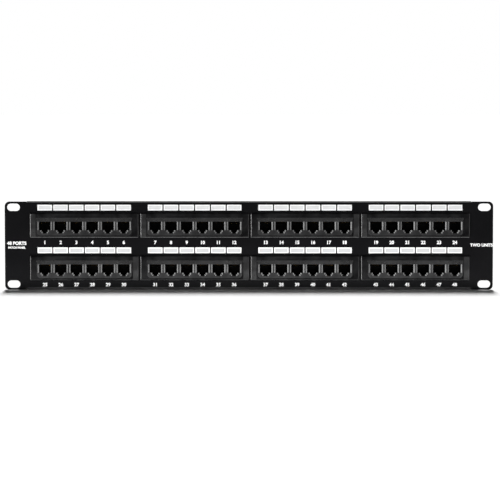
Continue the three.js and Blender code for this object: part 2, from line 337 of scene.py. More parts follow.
def solder_mask():
    """Green board with the pattern of its tracks showing faintly through the mask."""
    shader = Shader("green_solder_mask", (0.008, 0.075, 0.03), 0.28, specular=0.5)
    waves = shader.node("ShaderNodeTexWave", Scale=230, Distortion=5, Detail=0)
    waves.inputs["Detail Scale"].default_value = 0.35
    waves.bands_direction = "Z"
    shader.link(shader.place, waves.inputs["Vector"])
    tracks = shader.remap(waves.outputs["Fac"], 0.52, 0.6, 0, 1)
    shader.link(
        shader.mix_color(tracks, shader.color, (0.016, 0.14, 0.055)),
        shader.surface.inputs["Base Color"],
    )
    shader.vary_color((0.006, 0.06, 0.026), 60)
    shader.vary_roughness(0.22, 0.38, 200)
    shader.bump(tracks, 0.00004, 0.5)
    return shader.material


def printed_white(name, color, roughness=0.5):
    """Screen-printed ink: slightly uneven in cover, with the steel's texture under it."""
    shader = Shader(name, color, roughness, specular=0.35)
    shader.vary_color(tuple(0.94 * c for c in color), 220, 0.45, 0.8)
    shader.vary_roughness(roughness - 0.06, roughness + 0.1, 180)
    shader.bump(shader.noise(2600, 2), 0.00001, 0.3)
    return shader.material


def film(name, color):
    shader = Shader(name, color, 0.42, specular=0.4)
    shader.vary_color(tuple(0.9 * c for c in color), 140, 0.4, 0.8)
    shader.vary_roughness(0.36, 0.52, 160)
    shader.bump(shader.noise(1800, 2), 0.000008, 0.3)
    return shader.material


POWDER_COAT = powder_coat()
RUBBED_COAT = rubbed_coat()
HOUSING_PLASTIC = moulded_black()
SATIN_PLASTIC = satin_black()
POLISHED_PLASTIC = polished_black()
RUBBED_PLASTIC = rubbed_black()
HANDLED_PLASTIC = handled_black()
INNER_PLASTIC = inner_black()
HOUSING_FINISHES = (
    HOUSING_PLASTIC,
    SATIN_PLASTIC,
    POLISHED_PLASTIC,
    INNER_PLASTIC,
    RUBBED_PLASTIC,
    HANDLED_PLASTIC,
)
# The places of the finishes in HOUSING_FINISHES.
TEXTURED, SATIN, POLISHED, INSIDE, RUBBED, HANDLED = range(6)
TERMINAL_PLASTIC = terminal_black()
GOLD = gold_plate()
TINNED = tinned_metal()
SOLDER = solder()
BOARD_GREEN = solder_mask()
WHITE_INK = printed_white("white_ink", (0.95, 0.95, 0.95))
FIELD_INK = printed_white("writing_field_ink", (0.75, 0.755, 0.76), 0.6)
# The lower row's fields get a duller ink. This is painted shade that offsets the lamps at the table, which
# light them more.
SHADED_FIELD_INK = printed_white("shaded_lower_writing_field_ink", (0.59, 0.595, 0.6), 0.6)
BOARD_INK = printed_white("board_ink", (0.75, 0.76, 0.74), 0.55)
LABEL_FILM = film("white_label_film", (0.84, 0.84, 0.8))
WIRE_COLORS = [
    film("strip_blue", (0.02, 0.09, 0.42)),
    film("strip_orange", (0.75, 0.2, 0.02)),
    film("strip_green", (0.02, 0.26, 0.07)),
    film("strip_brown", (0.16, 0.065, 0.025)),
]


# ---------- Mesh building ----------


def object_from(bm, name, *materials):
    bmesh.ops.recalc_face_normals(bm, faces=bm.faces)
    mesh = bpy.data.meshes.new(name)
    bm.to_mesh(mesh)
    bm.free()
    for material in materials:
        mesh.materials.append(material)
    made = bpy.data.objects.new(name, mesh)
    bpy.context.scene.collection.objects.link(made)
    return made


def add_box(bm, low, high, material=0):
    """A box between two corners, for the floor and for small details of larger meshes."""
    size = Vector(high) - Vector(low)
    middle = (Vector(high) + Vector(low)) / 2
    matrix = Matrix.Translation(middle) @ Matrix.Diagonal((*size, 1))
    made = bmesh.ops.create_cube(bm, size=1, matrix=matrix)
    for face in {f for v in made["verts"] for f in v.link_faces}:
        face.material_index = material


def add_pad(bm, place, half_size, base, thickness, material):
    """A thin box on a face that looks backwards, centred on a place in X and Z."""
    x, z = place
    half_width, half_height = half_size
    low = (x - half_width, base, z - half_height)
    high = (x + half_width, base + thickness, z + half_height)
    add_box(bm, low, high, material)


def add_loft(bm, rings, material=0):
    """A closed solid through rings of points, each with the same number of points."""
    made = [[bm.verts.new(p) for p in ring] for ring in rings]
    count = len(made[0])
    faces = [
        bm.faces.new((a[i], a[(i + 1) % count], b[(i + 1) % count], b[i]))
        for a, b in zip(made, made[1:])
        for i in range(count)
    ]
    faces.append(bm.faces.new(made[0][::-1]))
    faces.append(bm.faces.new(made[-1]))
    for face in faces:
        face.material_index = material


def add_prism(bm, outline, axis, low, high, material=0):
    """An outline of two coordinates, made solid along the third axis from low to high."""

    def lift(point, level):
        whole = list(point)
        whole.insert(axis, level)
        return Vector(whole)

    rings = [[lift(p, level) for p in outline] for level in (low, high)]
    add_loft(bm, rings, material)


def circle(radius, sides):
    """Points round a circle, as pairs of distances from its centre."""
    turns = [i / sides * 2 * math.pi for i in range(sides)]
    return [(radius * math.cos(turn), radius * math.sin(turn)) for turn in turns]


def rounded_rectangle(width, height, radii, centre=(0, 0), steps=6):
    """Outline points with a radius for each corner: upper right, upper left, lower left, lower right."""
    right, top = width / 2, height / 2
    corners = [(right, top), (-right, top), (-right, -top), (right, -top)]
    outline = []
    for quarter, ((x, z), radius) in enumerate(zip(corners, radii)):
        middle_x = x - math.copysign(radius, x)
        middle_z = z - math.copysign(radius, z)
        for i in range(steps + 1):
            angle = (quarter + i / steps) * math.pi / 2
            outline.append(
                (
                    centre[0] + middle_x + radius * math.cos(angle),
                    centre[1] + middle_z + radius * math.sin(angle),
                )
            )
    return outline


def applied(piece):
    """The piece's mesh with its modifiers made permanent."""
    graph = bpy.context.evaluated_depsgraph_get()
    mesh = bpy.data.meshes.new_from_object(piece.evaluated_get(graph))
    piece.modifiers.clear()
    piece.data = mesh
    return piece


def cut(target, cutter, operation="DIFFERENCE"):
    modifier = target.modifiers.new("cut", "BOOLEAN")
    modifier.operation = operation
    modifier.solver = "EXACT"
    modifier.object = cutter
    applied(target)
    bpy.data.objects.remove(cutter)


def soften_edges(piece, width, segments=2, angle=35, finish=-1):
    """Rounds the sharp edges, in the material slot given or else in that of the faces beside them."""
    bevel = piece.modifiers.new("rounded_edges", "BEVEL")
    bevel.width = width
    bevel.segments = segments
    bevel.limit_method = "ANGLE"
    bevel.angle_limit = math.radians(angle)
    bevel.harden_normals = True
    bevel.miter_outer = "MITER_ARC"
    bevel.material = finish
    return piece


def shade_smooth(piece, angle=40):
    mesh = piece.data
    mesh.shade_smooth()
    mesh.set_sharp_from_angle(angle=math.radians(angle))
    return piece


def shade_moulding(piece, large=20 * MM * MM, crease=0.5, sharp=50):
    """Smooth across small faces, and flat on the large ones with a crease all round them."""
    piece.data.shade_smooth()
    bm = bmesh.new()
    bm.from_mesh(piece.data)
    for edge in bm.edges:
        if len(edge.link_faces) != 2:
            continue
        turn = math.degrees(edge.calc_face_angle(0))
        largest = max(face.calc_area() for face in edge.link_faces)
        if turn > sharp or (turn > crease and largest > large):
            edge.smooth = False
    bm.to_mesh(piece.data)
    bm.free()
    weighted = piece.modifiers.new("weighted_normals", "WEIGHTED_NORMAL")
    weighted.mode = "FACE_AREA"
    weighted.weight = 100
    weighted.keep_sharp = True
    return applied(piece)


def copies(piece, count):
    """The piece and more objects that share its mesh."""
    made = [piece]
    for _ in range(count - 1):
        other = bpy.data.objects.new(piece.name, piece.data)
        bpy.context.scene.collection.objects.link(other)
        made.append(other)
    return made


def stand_for(piece, name, node, body, location):
    """Puts a piece in the place of a CAD node, riding the node's body."""
    piece.name = name
    piece.location = location
    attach(piece, body)
    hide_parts(node)


# ---------- Jack housings ----------

# Heights are from the module's centre line. A row of a socket is (width, top, floor): first the plug's, and
# then the two steps for its latch.
SOCKET_ROWS = (
    (11.8 * MM, 3.75 * MM, -4.7 * MM),
    (6.3 * MM, -4.2 * MM, -6.35 * MM),
    (4.0 * MM, -6.0 * MM, -7.85 * MM),
)
# The sockets' mouths splay by this much to each side, over this depth.
LEAD_IN = 1.15 * MM
LEAD_IN_DEPTH = 0.9 * MM
WALL_BACK = 1.0 * MM
CHAMBER_WIDTH = 93.4 * MM
CHAMBER_TOP = 7.4 * MM
BODY_WIDTH = 105.4 * MM
BODY_HEIGHT = 22.4 * MM
BODY_BACK = 11.0 * MM
BODY_CORNER = 0.6 * MM
BEZEL_FRONT = -3.2 * MM
BEZEL_ROUND = 1.2 * MM
BEZEL_CORNER = 0.8 * MM
BEZEL_GAP = 0.1 * MM  # between the bezel and the steel
RAISED_WIDTH = 93.6 * MM
RAISED_HEIGHT = 17.3 * MM
RAISED_OFFSET = -1.2 * MM
# Above this height the raised frame's front leans back.
STRIP_START = 3.55 * MM
STRIP_LEAN = math.radians(14)
SHOULDER_WIDTH = 1.2 * MM
SHOULDER_DROP = 1.3 * MM
UPPER_CORNER = 1.5 * MM
LOWER_CORNER = 3.5 * MM
ROUND_STEPS = 6
OVERCUT = 1 * MM  # how far a cutter reaches past the surface that it opens
OVERLAP = 0.5 * MM  # how far joined solids, or joined cuts, run into each other
# The snap hooks: where they start behind the plate's back face, how far out they stand, where they end,
# how far inside the body they're rooted, and half their height.
SNAP_START = 0.3 * MM
SNAP_REACH = 1.0 * MM
SNAP_END = 3.5 * MM
SNAP_ROOT = 0.3 * MM
SNAP_HALF_HEIGHT = 4 * MM
HOUSING_EDGE = 0.22 * MM
STAKE_OFFSET = 49.8 * MM
STAKE_SIDES = 20


def bezel_solid():
    """The plate behind the sockets' frame: its front edge is a quarter round."""
    rings = []
    for i in range(ROUND_STEPS + 1):
        angle = i / ROUND_STEPS * math.pi / 2
        inset = BEZEL_ROUND * (1 - math.sin(angle))
        depth = BEZEL_FRONT + BEZEL_ROUND * (1 - math.cos(angle))
        outline = rounded_rectangle(
            HOUSING_WIDTH - 2 * inset, HOUSING_HEIGHT - 2 * inset, [BEZEL_CORNER] * 4
        )
        rings.append([(x, depth, z) for x, z in outline])
    outline = rounded_rectangle(HOUSING_WIDTH, HOUSING_HEIGHT, [BEZEL_CORNER] * 4)
    rings.append([(x, PLATE_FRONT - BEZEL_GAP, z) for x, z in outline])
    bm = bmesh.new()
    add_loft(bm, rings)
    # On the quarter round, the ends and the bottom have finishes of their own.
    for face in bm.faces:
        face.normal_update()
        middle = face.calc_center_median()
        at_an_end = abs(middle.x) > HOUSING_WIDTH / 2 - BEZEL_ROUND
        at_the_bottom = middle.z < -HOUSING_HEIGHT / 2 + BEZEL_ROUND
        leaning = abs(face.normal.y) > 0.2
        if at_an_end and leaning and abs(face.normal.x) > 0.3:
            face.material_index = POLISHED if middle.x < 0 else HANDLED
        elif at_the_bottom and leaning and abs(face.normal.z) > 0.3:
            face.material_index = SATIN
    return object_from(bm, "bezel", *HOUSING_FINISHES)


def leaning_depth(z):
    """How far back the strip above the sockets lies at a height."""
    return RAISED_FRONT + max(0, z - STRIP_START) * math.tan(STRIP_LEAN)


def raised_solid():
    """The frame around the sockets.

    Its front is flat beside and below them, leans back above them until it meets the bezel, and has a soft
    shoulder all round.
    """
    rings = []
    for i in range(ROUND_STEPS + 1):
        angle = i / ROUND_STEPS * math.pi / 2
        growth = SHOULDER_WIDTH * math.sin(angle)
        depth = RAISED_FRONT + SHOULDER_DROP * (1 - math.cos(angle))
        upper = UPPER_CORNER + growth
        lower = LOWER_CORNER + growth
        outline = rounded_rectangle(
            RAISED_WIDTH + 2 * growth,
            RAISED_HEIGHT + 2 * growth,
            [upper, upper, lower, lower],
            centre=(0, RAISED_OFFSET),
        )
        rings.append([(x, depth, z) for x, z in outline])
    bm = bmesh.new()
    add_loft(bm, rings)
    everything = bm.verts[:] + bm.edges[:] + bm.faces[:]
    bmesh.ops.bisect_plane(
        bm, geom=everything, plane_co=(0, 0, STRIP_START), plane_no=(0, 0, 1)
    )
    for vert in bm.verts:
        vert.co.y = max(vert.co.y, leaning_depth(vert.co.z))
    for face in bm.faces:
        if all(abs(v.co.y - leaning_depth(v.co.z)) < 0.001 * MM for v in face.verts):
            above = face.calc_center_median().z > STRIP_START
            face.material_index = SATIN if above else HANDLED
    return object_from(bm, "raised", *HOUSING_FINISHES)


def body_solid():
    """The box that goes through the steel, with its snap hooks."""
    bm = bmesh.new()
    half_width = BODY_WIDTH / 2
    outline = rounded_rectangle(BODY_WIDTH, BODY_HEIGHT, [BODY_CORNER] * 4)
    add_prism(bm, outline, 1, PLATE_FRONT - OVERLAP, BODY_BACK, TEXTURED)
    # The hooks at both ends catch behind the steel.
    for side in (-1, 1):
        hook = (
            (side * (half_width - SNAP_ROOT), SNAP_START),
            (side * (half_width + SNAP_REACH), SNAP_START),
            (side * (half_width - SNAP_ROOT), SNAP_END),
        )
        add_prism(bm, hook, 2, -SNAP_HALF_HEIGHT, SNAP_HALF_HEIGHT, TEXTURED)
    return object_from(bm, "body", *HOUSING_FINISHES)


def socket_row_cutter(row):
    """One row of all six sockets, splayed to both sides at the mouth."""
    width, top, floor = row
    half = width / 2
    outer = half + LEAD_IN * (LEAD_IN_DEPTH + OVERCUT) / LEAD_IN_DEPTH
    bm = bmesh.new()
    for x in port_offsets:
        section = (
            (x - outer, RAISED_FRONT - OVERCUT),
            (x + outer, RAISED_FRONT - OVERCUT),
            (x + half, RAISED_FRONT + LEAD_IN_DEPTH),
            (x + half, WALL_BACK + OVERLAP),
            (x - half, WALL_BACK + OVERLAP),
            (x - half, RAISED_FRONT + LEAD_IN_DEPTH),
        )
        add_prism(bm, section, 2, floor, top, INSIDE)
    # The splayed walls are the only faces that look both sideways and forwards.
    for face in bm.faces:
        face.normal_update()
        if abs(face.normal.x) > 0.2 and abs(face.normal.y) > 0.2:
            face.material_index = POLISHED
    return object_from(bm, "row", *HOUSING_FINISHES)


def bays_cutter():
    """The room behind the front wall, a bay to each socket."""
    width, top, _ = SOCKET_ROWS[0]
    floor = SOCKET_ROWS[2][2]
    bm = bmesh.new()
    for x in port_offsets:
        add_box(
            bm,
            (x - width / 2, WALL_BACK, floor),
            (x + width / 2, BODY_BACK + OVERCUT, top + OVERLAP),
            INSIDE,
        )
    return object_from(bm, "bays", *HOUSING_FINISHES)


def chamber_cutter():
    """The chamber above the bays, which the contacts lie in."""
    bm = bmesh.new()
    add_box(
        bm,
        (-CHAMBER_WIDTH / 2, WALL_BACK, SOCKET_ROWS[0][1]),
        (CHAMBER_WIDTH / 2, BODY_BACK + OVERCUT, CHAMBER_TOP),
        INSIDE,
    )
    return object_from(bm, "chamber", *HOUSING_FINISHES)


def heat_stakes():
    """The melted-over pegs that hold the circuit board."""
    bm = bmesh.new()
    # Each pair is a depth and the peg's radius there: a shank, and then a low round head.
    profile = (
        (BODY_BACK - 0.3 * MM, 1.4 * MM),
        (board_high.y + 0.05 * MM, 1.4 * MM),
        (board_high.y + 0.05 * MM, 2.2 * MM),
        (board_high.y + 0.35 * MM, 2.3 * MM),
        (board_high.y + 0.7 * MM, 1.8 * MM),
        (board_high.y + 0.8 * MM, 0.9 * MM),
    )
    for x in (-STAKE_OFFSET, STAKE_OFFSET):
        rings = [
            [(x + across, depth, up) for across, up in circle(radius, STAKE_SIDES)]
            for depth, radius in profile
        ]
        add_loft(bm, rings)
    return object_from(bm, "stakes", *HOUSING_FINISHES)


def add_handled_band(piece, side):
    """Gives one of the two bands beside the raised frame the handled finish."""
    start = side * (RAISED_WIDTH / 2 + SHOULDER_WIDTH)
    bm = bmesh.new()
    bm.from_mesh(piece.data)
    everything = bm.verts[:] + bm.edges[:] + bm.faces[:]
    bmesh.ops.bisect_plane(
        bm, geom=everything, plane_co=(start, 0, 0), plane_no=(1, 0, 0)
    )
    for face in bm.faces:
        middle = face.calc_center_median()
        beyond = (middle.x - start) * side > 0
        if beyond and face.normal.y < -0.9 and middle.y < BEZEL_FRONT + 0.05 * MM:
            face.material_index = HANDLED
    bm.to_mesh(piece.data)
    bm.free()


def housing(handled_side):
    """A jack housing with one of its ends handled: -1 is the left one, and 1 the right one."""
    whole = body_solid()
    cut(whole, bezel_solid(), "UNION")
    cut(whole, raised_solid(), "UNION")
    for row in SOCKET_ROWS:
        cut(whole, socket_row_cutter(row))
    cut(whole, bays_cutter())
    cut(whole, chamber_cutter())
    add_handled_band(whole, handled_side)
    soften_edges(whole, HOUSING_EDGE, finish=RUBBED)
    applied(whole)
    stakes = heat_stakes()
    bm = bmesh.new()
    bm.from_mesh(whole.data)
    bm.from_mesh(stakes.data)
    bm.to_mesh(whole.data)
    bm.free()
    bpy.data.objects.remove(stakes)
    return shade_moulding(whole)


# Which modules are handled at their left end, and which at their right end.
HANDLED_LEFT = (1, 2, 4, 7)
HANDLED_RIGHT = (3, 5, 6, 8)

for side, numbers in ((-1, HANDLED_LEFT), (1, HANDLED_RIGHT)):
    for number, piece in zip(numbers, copies(housing(side), len(numbers))):
        stand_for(
            piece,
            f"housing_{number}",
            f"jack_housing_{number}",
            ROOT,
            module_centre[number],
        )


# ---------- Contact springs ----------

WIRES_PER_PORT = 8
WIRE_PITCH = 1.02 * MM
WIRE_RADIUS = 0.23 * MM
PIVOT = Vector((0, 1.8 * MM, 4.9 * MM))
SPRING_LENGTH = 8.8 * MM
SPRING_SLOPE = math.radians(29)
# The wire turns over the pivot in part of an ellipse, then runs straight but for a shallow bow.
WRAP_DEPTH = 0.42 * MM
WRAP_HEIGHT = 0.3 * MM
WRAP_START = math.radians(190)
WRAP_STEP = math.radians(50)
WRAP_POINTS = 4
RUN_START = 0.8 * MM
RUN_POINTS = 6
BOW = 0.35 * MM
HOOK_LENGTH = 0.45 * MM
HOOK_RISE = 0.02 * MM


def wire_path():
    """One contact in the Y-Z plane: over the pivot, down in a shallow bow, and a hook at the free end."""
    path = []
    for i in range(WRAP_POINTS):
        angle = WRAP_START - WRAP_STEP * i
        path.append(
            (PIVOT.y + WRAP_DEPTH * math.cos(angle), PIVOT.z + WRAP_HEIGHT * math.sin(angle))
        )
    for i in range(1, RUN_POINTS + 1):
        along = RUN_START + (SPRING_LENGTH - 2 * RUN_START) * i / RUN_POINTS
        bow = BOW * math.sin(math.pi * i / RUN_POINTS)
        path.append(
            (
                PIVOT.y + along * math.cos(SPRING_SLOPE) + bow * math.sin(SPRING_SLOPE),
                PIVOT.z - along * math.sin(SPRING_SLOPE) + bow * math.cos(SPRING_SLOPE),
            )
        )
    end_y, end_z = path[-1]
    path.append((end_y + HOOK_LENGTH, end_z + HOOK_RISE))
    return path


def add_wire(bm, x, path, sides=6):
    """A round wire along a path in the Y-Z plane."""
    rings = []
    for i, (y, z) in enumerate(path):
        before = path[max(i - 1, 0)]
        after = path[min(i + 1, len(path) - 1)]
        slope = math.atan2(after[1] - before[1], after[0] - before[0])
        ring = [
            (x + across, y - up * math.sin(slope), z + up * math.cos(slope))
            for across, up in circle(WIRE_RADIUS, sides)
        ]
        rings.append(ring)
    add_loft(bm, rings)


def contact_comb():
    """All the contacts of a module, a row of them in each socket."""
    bm = bmesh.new()
    path = wire_path()
    for port in port_offsets:
        for offset in spread(WIRES_PER_PORT, WIRE_PITCH):
            add_wire(bm, port + offset, path)
    return shade_smooth(object_from(bm, "contacts", GOLD), 60)


for number, piece in zip(MODULES, copies(contact_comb(), len(MODULES))):
    stand_for(
        piece,
        f"contacts_{number}",
        f"contact_springs_{number}",
        f"springs_{number}",
        module_centre[number],
    )


# ---------- Circuit boards ----------

BOARD_WIDTH = board_high.x - board_low.x
BOARD_HEIGHT = board_high.z - board_low.z
BOARD_CORNER = 1.2 * MM
BOARD_EDGE = 0.1 * MM
MASK, JOINT, PRINT, CAPACITOR = range(4)
# The contacts' tails are wider apart than the contacts, in two staggered rows.
TAIL_PITCH = 1.25 * WIRE_PITCH
TAIL_ROWS = (6.5 * MM, 5.4 * MM)
TAIL_RADIUS = 0.42 * MM
TAIL_HEIGHT = 0.55 * MM
# Half sizes and thicknesses of a capacitor, of its soldered ends, and of the brackets printed beside it.
CAPACITOR_ROW = 16.4 * MM
CAPACITOR_HALF = (0.7 * MM, 0.6 * MM)
CAPACITOR_THICKNESS = 0.6 * MM
END_OFFSET = 0.95 * MM
END_HALF = (0.3 * MM, 0.62 * MM)
END_THICKNESS = 0.62 * MM
BRACKET_OFFSET = 1.8 * MM
BRACKET_HALF = (0.08 * MM, 0.9 * MM)
BRACKET_INK = 0.03 * MM


def add_solder(bm, x, z, base, sides=8):
    """A soldered tail: a small cone with a blunt tip."""
    rings = []
    for share, rise in ((1, 0), (0.75, 0.35), (0.4, 0.7), (0.25, 1)):
        ring = [
            (x + across, base + rise * TAIL_HEIGHT, z + up)
            for across, up in circle(share * TAIL_RADIUS, sides)
        ]
        rings.append(ring)
    add_loft(bm, rings, JOINT)


def add_capacitor(bm, x, z, base):
    """A surface-mounted part with its two soldered ends and the brackets printed beside it."""
    add_pad(bm, (x, z), CAPACITOR_HALF, base, CAPACITOR_THICKNESS, CAPACITOR)
    for side in (-1, 1):
        end = (x + side * END_OFFSET, z)
        add_pad(bm, end, END_HALF, base, END_THICKNESS, JOINT)
    for side in (-1, 1):
        bracket = (x + side * BRACKET_OFFSET, z)
        add_pad(bm, bracket, BRACKET_HALF, base, BRACKET_INK, PRINT)


def board_piece():
    """The board, its soldered contact tails, and two small capacitors to each port."""
    bm = bmesh.new()
    outline = rounded_rectangle(BOARD_WIDTH, BOARD_HEIGHT, [BOARD_CORNER] * 4, steps=4)
    back = board_high.y
    add_prism(bm, outline, 1, board_low.y, back, MASK)
    for port in port_offsets:
        for i, offset in enumerate(spread(WIRES_PER_PORT, TAIL_PITCH)):
            z = TAIL_ROWS[i % 2]
            add_solder(bm, port + offset, z, back)
            add_solder(bm, port + offset, -z, back)
        for side in (-1, 1):
            add_capacitor(bm, port, side * CAPACITOR_ROW, back)
    piece = object_from(bm, "board", BOARD_GREEN, SOLDER, BOARD_INK, INNER_PLASTIC)
    soften_edges(piece, BOARD_EDGE, 1, 50)
    return shade_smooth(applied(piece))


for number, piece in zip(MODULES, copies(board_piece(), len(MODULES))):
    stand_for(
        piece,
        f"board_{number}",
        f"circuit_board_{number}",
        ROOT,
        module_centre[number],
    )


# ---------- Terminal rows ----------

BLOCK_LENGTH = block_high.x - block_low.x
BLOCK_HEIGHT = block_high.z - block_low.z
TERMINALS = 24
TERMINAL_PITCH = PORT_PITCH / 4
TERMINAL_BODY, BLADE = range(2)
# Depths of the slots' floors and of the teeth's tips.
SLOT_FLOOR = 24.5 * MM
SHORT_TOOTH = 29.6 * MM
TALL_TOOTH = block_high.y
TOOTH_ROOT = 0.8 * MM  # how far a tooth reaches into the bar
SLOT_WIDTH = 0.75 * MM
END_TOOTH_WIDTH = 2.0 * MM
FOOT_DEPTH = 2.4 * MM
STEP_DEPTH = 2.9 * MM  # where the foot has narrowed to the bar
STEP = 0.4 * MM  # how far the bar and its teeth stand in from the foot
TERMINAL_EDGE = 0.12 * MM
# The ribs on the bar: half their width, how far behind the block's front they start and in front of the
# slots' floors they end, how far inside the foot's outline they're rooted, and their thickness.
RIB_HALF_WIDTH = 0.55 * MM
RIB_START = 3.4 * MM
RIB_END_GAP = 0.7 * MM
RIB_ROOT = 0.35 * MM
RIB_THICKNESS = 0.25 * MM
# A blade's four prongs: their near and far sides' distances from the slot's middle, how far in from the
# block's top and bottom they lie, and half their thickness.
PRONG_NEAR = 0.32 * MM
PRONG_FAR = 0.95 * MM
PRONG_INSET = 1.7 * MM
PRONG_HALF_THICKNESS = 0.2 * MM
PRONG_DEPTH = 0.8 * MM  # how far they start in front of the slots' floor
PRONG_TIP_GAP = 1.9 * MM  # how far they end in front of the short teeth's tips
terminal_offsets = spread(TERMINALS, TERMINAL_PITCH)


def add_tooth(bm, x, width, tip):
    """One tooth between two wire slots, narrowing to a ridge that parts a pair of wires."""
    half_height = BLOCK_HEIGHT / 2 - STEP
    # Each level is a depth, and the tooth's width and half height there.
    levels = (
        (SLOT_FLOOR - TOOTH_ROOT, width, half_height),
        (SLOT_FLOOR, width, half_height),
        (tip - 1.6 * MM, width * 0.92, half_height - 0.15 * MM),
        (tip - 0.5 * MM, width * 0.55, half_height - 0.5 * MM),
        (tip, width * 0.22, half_height - 0.9 * MM),
    )
    rings = []
    for depth, wide, high in levels:
        rings.append(
            [
                (x - wide / 2, depth, -high),
                (x + wide / 2, depth, -high),
                (x + wide / 2, depth, high),
                (x - wide / 2, depth, high),
            ]
        )
    add_loft(bm, rings)


def add_blade(bm, x):
    """The forked metal blade that cuts into a wire, seen edge-on across its slot."""
    for side in (-1, 1):
        for end in (-1, 1):
            z = end * (BLOCK_HEIGHT / 2 - PRONG_INSET)
            near, far = sorted((x + side * PRONG_NEAR, x + side * PRONG_FAR))
            low = (near, SLOT_FLOOR - PRONG_DEPTH, z - PRONG_HALF_THICKNESS)
            high = (far, SHORT_TOOTH - PRONG_TIP_GAP, z + PRONG_HALF_THICKNESS)
            add_box(bm, low, high, BLADE)


def terminal_piece():
    """A row of punch-down terminals with the blades in its slots."""
    bm = bmesh.new()
    front = block_low.y
    half_length = BLOCK_LENGTH / 2
    half_height = BLOCK_HEIGHT / 2
    # The base is stepped: a wide foot on the board and a narrower bar that carries the teeth.
    section = (
        (front, -half_height),
        (front + FOOT_DEPTH, -half_height),
        (front + STEP_DEPTH, -half_height + STEP),
        (SLOT_FLOOR, -half_height + STEP),
        (SLOT_FLOOR, half_height - STEP),
        (front + STEP_DEPTH, half_height - STEP),
        (front + FOOT_DEPTH, half_height),
        (front, half_height),
    )
    add_prism(bm, section, 0, -half_length, half_length, TERMINAL_BODY)
    # A shallow rib above and below every slot, where its blade is held.
    for x in terminal_offsets:
        for side in (-1, 1):
            z = side * (half_height - RIB_ROOT)
            lower, upper = sorted((z, z + side * RIB_THICKNESS))
            low = (x - RIB_HALF_WIDTH, front + RIB_START, lower)
            high = (x + RIB_HALF_WIDTH, SLOT_FLOOR - RIB_END_GAP, upper)
            add_box(bm, low, high)
    for i, x in enumerate(spread(TERMINALS + 1, TERMINAL_PITCH)):
        tip = SHORT_TOOTH if i % 2 else TALL_TOOTH
        width = TERMINAL_PITCH - SLOT_WIDTH
        if i in (0, TERMINALS):
            width = END_TOOTH_WIDTH
            x = math.copysign(half_length - width / 2, x)
        add_tooth(bm, x, width, tip)
    for x in terminal_offsets:
        add_blade(bm, x)
    piece = object_from(bm, "terminals", TERMINAL_PLASTIC, TINNED)
    soften_edges(piece, TERMINAL_EDGE, 1, 50)
    return shade_smooth(applied(piece))


rows = [(number, place) for number in MODULES for place in ("upper", "lower")]
for (number, place), piece in zip(rows, copies(terminal_piece(), len(rows))):
    node = f"terminal_block_{place}_{number}"
    middle = centre_of(node)
    stand_for(
        piece,
        f"terminals_{place}_{number}",
        node,
        ROOT,
        Vector((middle.x, 0, middle.z)),
    )


# ---------- Wiring labels ----------

LABEL_WIDTH = label_high.x - label_low.x
LABEL_HEIGHT = label_high.z - label_low.z
LABEL_BACK = label_high.y
LABEL_CORNER = 0.6 * MM
LABEL_INK = 0.02 * MM
PATCH_ROW = 2.6 * MM
PATCH_HALF_HEIGHT = 1.1 * MM
STRIPE_HALF_WIDTH = 0.5 * MM
PATCH_HALF_WIDTH = 1.2 * MM
RULE_HALF_WIDTH = 0.12 * MM
RULE_MARGIN = 0.6 * MM
RULE_INSET = 0.5 * MM  # the end rules' distance from the film's ends
RULE = 1 + len(WIRE_COLORS)  # the material slot after the film and the colours


def label_piece():
    """A strip of film with a colour patch beside every terminal, in two rows, and a rule between ports."""
    bm = bmesh.new()
    outline = rounded_rectangle(LABEL_WIDTH, LABEL_HEIGHT, [LABEL_CORNER] * 4, steps=3)
    add_prism(bm, outline, 1, label_low.y, LABEL_BACK)
    for i, x in enumerate(terminal_offsets):
        color = 1 + (i // 2) % len(WIRE_COLORS)
        # The first wire of a pair is white with a stripe, and the second is the plain colour.
        half_width = PATCH_HALF_WIDTH if i % 2 else STRIPE_HALF_WIDTH
        for side in (-1, 1):
            patch = (x, side * PATCH_ROW)
            add_pad(bm, patch, (half_width, PATCH_HALF_HEIGHT), LABEL_BACK, LABEL_INK, color)
    furthest = LABEL_WIDTH / 2 - RULE_INSET
    rule_size = (RULE_HALF_WIDTH, LABEL_HEIGHT / 2 - RULE_MARGIN)
    for x in spread(PORTS_PER_MODULE + 1, PORT_PITCH):
        place = (max(-furthest, min(furthest, x)), 0)
        add_pad(bm, place, rule_size, LABEL_BACK, LABEL_INK, RULE)
    return object_from(bm, "label", LABEL_FILM, *WIRE_COLORS, INNER_PLASTIC)


for number, piece in zip(MODULES, copies(label_piece(), len(MODULES))):
    stand_for(
        piece,
        f"label_{number}",
        f"wiring_label_{number}",
        ROOT,
        module_centre[number],
    )


# ---------- Steel panel and carriers keep their CAD shapes ----------


def refinish(node, face_material, edge_material, bevel):
    """Gives a CAD piece its materials, and rounds its edges in the second one."""
    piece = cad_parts[node]
    piece.data.materials.clear()
    piece.data.materials.append(face_material)
    piece.data.materials.append(edge_material)
    soften_edges(piece, bevel, 3, 30, finish=1)


refinish("steel_panel", POWDER_COAT, RUBBED_COAT, 0.3 * MM)
for number in MODULES:
    refinish(f"contact_carrier_{number}", INNER_PLASTIC, HOUSING_PLASTIC, 0.15 * MM)


# ---------- Ink on the steel ----------

INK = 0.03 * MM
WRITING_BOX = (14.4 * MM, 5.76 * MM)
WRITING_BORDER = 1.1 * MM
WRITING_BOX_CORNER = 0.35 * MM
FIELD_CORNER = 0.3 * MM
WHITE, UPPER_FIELD, SHADED_LOWER_FIELD = range(3)
WRITING_BOX_RISE = 17.5 * MM  # from the module's centre line to the box's
UPPER_NUMBER_DROP = 16.9 * MM  # from the module's centre line to the middle of its numbers
LOWER_NUMBER_DROP = 16.5 * MM
NUMBER_HEIGHT = 3.3 * MM
NUMBER_BOLDNESS = 0.19 * MM
CAPITAL_SHARE = 0.72  # a capital's height as a share of the lettering's nominal size
